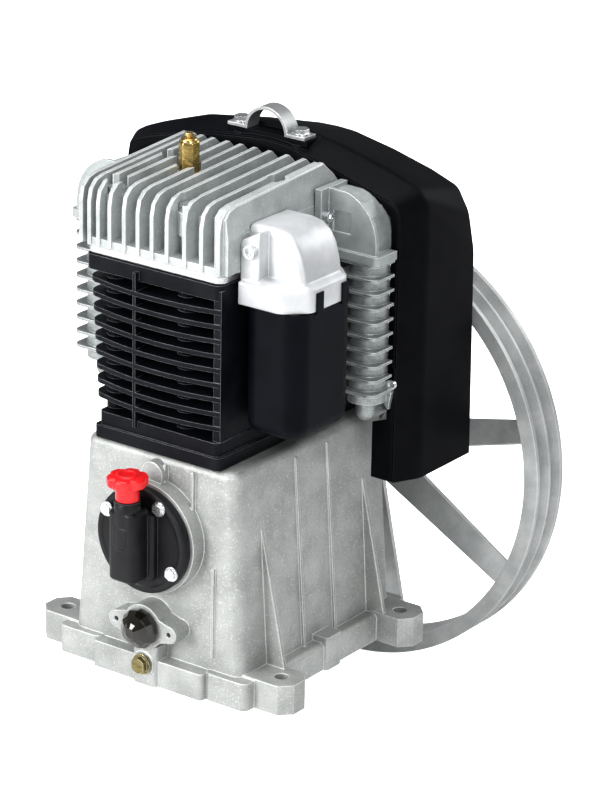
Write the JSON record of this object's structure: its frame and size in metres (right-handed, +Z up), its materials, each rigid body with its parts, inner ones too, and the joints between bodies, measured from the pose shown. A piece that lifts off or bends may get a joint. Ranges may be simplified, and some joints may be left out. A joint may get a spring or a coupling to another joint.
{
  "type": "reciprocating air compressor pump",
  "caption": "Belt-driven piston air pump with finned cylinders and head, side intake filter, black air shroud, lifting strap and a spoked V-grooved flywheel.",
  "frame": {"origin": "middle of the four foot holes, on the plane the feet stand on", "axes": "+Y along the crankshaft from the oil cover to the flywheel, +Z up, +X towards the intake filter"},
  "size_m": [0.44, 0.4241, 0.5805],
  "materials": {
    "cast_aluminium": "as cast, bright",
    "machined_aluminium": "machined",
    "black_paint": "satin black paint",
    "black_plastic": "satin black plastic",
    "bowl_plastic": "satin blue-black plastic",
    "red_plastic": "gloss red",
    "grey_gasket": "fibre gasket",
    "black_rubber": "matt",
    "zinc_steel": "zinc plated",
    "bearing_steel": "ground",
    "spring_steel": "bright",
    "forged_steel": "forged and ground",
    "strap_steel": "grey plated",
    "wheel_iron": "machined rim, cast spokes",
    "brass": "machined",
    "amber_glass": "dark faceted",
    "filter_paper": "pleated paper"
  },
  "bodies": {
    "pump": {"crankcase": "cast_aluminium", "base_gasket": "grey_gasket", "cylinder_block": "black_paint", "lower_head_gasket": "grey_gasket", "valve_plate": "machined_aluminium", "reed_valves": "spring_steel", "upper_head_gasket": "grey_gasket", "cylinder_head": "cast_aluminium", "head_bolts": "zinc_steel", "front_cover": "black_plastic", "cover_gasket": "grey_gasket", "cover_bolts": "zinc_steel", "sight_glass": "amber_glass", "sight_seal": "black_rubber", "drain_plug": "brass", "safety_valve_body": "brass", "safety_spring": "spring_steel", "filter_cover": "cast_aluminium", "filter_bowl": "bowl_plastic", "filter_element": "filter_paper", "filter_clips": "zinc_steel", "filter_bolts": "zinc_steel", "right_elbow": "cast_aluminium", "right_cooler_tube": "cast_aluminium", "left_elbow": "cast_aluminium", "left_cooler_tube": "cast_aluminium", "elbow_bolts": "zinc_steel", "elbow_gaskets": "grey_gasket", "crossover_pipe": "machined_aluminium", "shroud": "black_plastic", "shroud_screws": "zinc_steel", "lifting_strap": "strap_steel", "strap_bolts": "zinc_steel", "outlet_fitting": "brass", "bearing_outer_rings": "bearing_steel", "rear_housing": "cast_aluminium", "housing_bolts": "zinc_steel", "oil_seal": "black_rubber"},
    "crank": {"crankshaft": "forged_steel", "bearing_inner_rings": "bearing_steel", "flywheel": "wheel_iron", "flywheel_key": "forged_steel", "flywheel_bolt": "zinc_steel"},
    "ball_sets": {"bearing_balls": "bearing_steel"},
    "stage1_big_end": {"stage1_big_end": "forged_steel"},
    "stage2_big_end": {"stage2_big_end": "forged_steel"},
    "stage1_carrier": {"stage1_web_plug": "forged_steel"},
    "stage2_carrier": {"stage2_web_plug": "forged_steel"},
    "stage1_piston": {"stage1_piston": "machined_aluminium", "stage1_rings": "spring_steel", "stage1_wrist_pin": "bearing_steel", "stage1_rod": "forged_steel"},
    "stage2_piston": {"stage2_piston": "machined_aluminium", "stage2_rings": "spring_steel", "stage2_wrist_pin": "bearing_steel", "stage2_rod": "forged_steel"},
    "cap_seal": {"cap_seal": "black_rubber"},
    "filler_cap": {"filler_cap": "red_plastic"},
    "poppet": {"valve_poppet": "brass"}
  },
  "joints": [
    {"name": "crank_spin", "type": "hinge", "parent": "pump", "child": "crank", "pos_m": [0, 0, 0.146], "axis": [0, 1, 0], "continuous": true},
    {"name": "ball_spin", "type": "hinge", "parent": "pump", "child": "ball_sets", "pos_m": [0, 0, 0.146], "axis": [0, 1, 0], "continuous": true},
    {"name": "stage1_big_end_turn", "type": "hinge", "parent": "crank", "child": "stage1_big_end", "pos_m": [0, 0.038, 0.181], "axis": [0, 1, 0], "continuous": true},
    {"name": "stage1_carrier_turn", "type": "hinge", "parent": "crank", "child": "stage1_carrier", "pos_m": [0, 0.038, 0.1635], "axis": [0, 1, 0], "continuous": true},
    {"name": "stage1_piston_keep", "type": "hinge", "parent": "stage1_carrier", "child": "stage1_piston", "pos_m": [0, 0.038, 0.181], "axis": [0, 1, 0], "continuous": true},
    {"name": "stage2_big_end_turn", "type": "hinge", "parent": "crank", "child": "stage2_big_end", "pos_m": [0, -0.058, 0.111], "axis": [0, 1, 0], "continuous": true},
    {"name": "stage2_carrier_turn", "type": "hinge", "parent": "crank", "child": "stage2_carrier", "pos_m": [0, -0.058, 0.1285], "axis": [0, 1, 0], "continuous": true},
    {"name": "stage2_piston_keep", "type": "hinge", "parent": "stage2_carrier", "child": "stage2_piston", "pos_m": [0, -0.058, 0.111], "axis": [0, 1, 0], "continuous": true},
    {"name": "cap_lift", "type": "slide", "parent": "pump", "child": "cap_seal", "axis": [0, 0, 1], "range_m": [0, 0.0091]},
    {"name": "cap_turn", "type": "hinge", "parent": "cap_seal", "child": "filler_cap", "pos_m": [0, -0.162, 0.1925], "axis": [0, 0, 1], "range_deg": [0, 1080]},
    {"name": "relief_lift", "type": "slide", "parent": "pump", "child": "poppet", "axis": [0, 0, 1], "range_m": [0, 0.0015], "stiffness_N_per_m": 4000, "springref_m": -0.006, "deforming": ["safety_spring"]}
  ],
  "couplings": [
    {"joint": "ball_spin", "follows": "crank_spin", "ratio": 0.41},
    {"joint": "stage1_big_end_turn", "follows": "crank_spin", "ratio": -1},
    {"joint": "stage1_carrier_turn", "follows": "crank_spin", "ratio": -2},
    {"joint": "stage1_piston_keep", "follows": "crank_spin", "ratio": 1},
    {"joint": "stage2_big_end_turn", "follows": "crank_spin", "ratio": -1},
    {"joint": "stage2_carrier_turn", "follows": "crank_spin", "ratio": -2},
    {"joint": "stage2_piston_keep", "follows": "crank_spin", "ratio": 1},
    {"joint": "cap_lift", "follows": "cap_turn", "m_per_rad": 0.00047746}
  ]
}
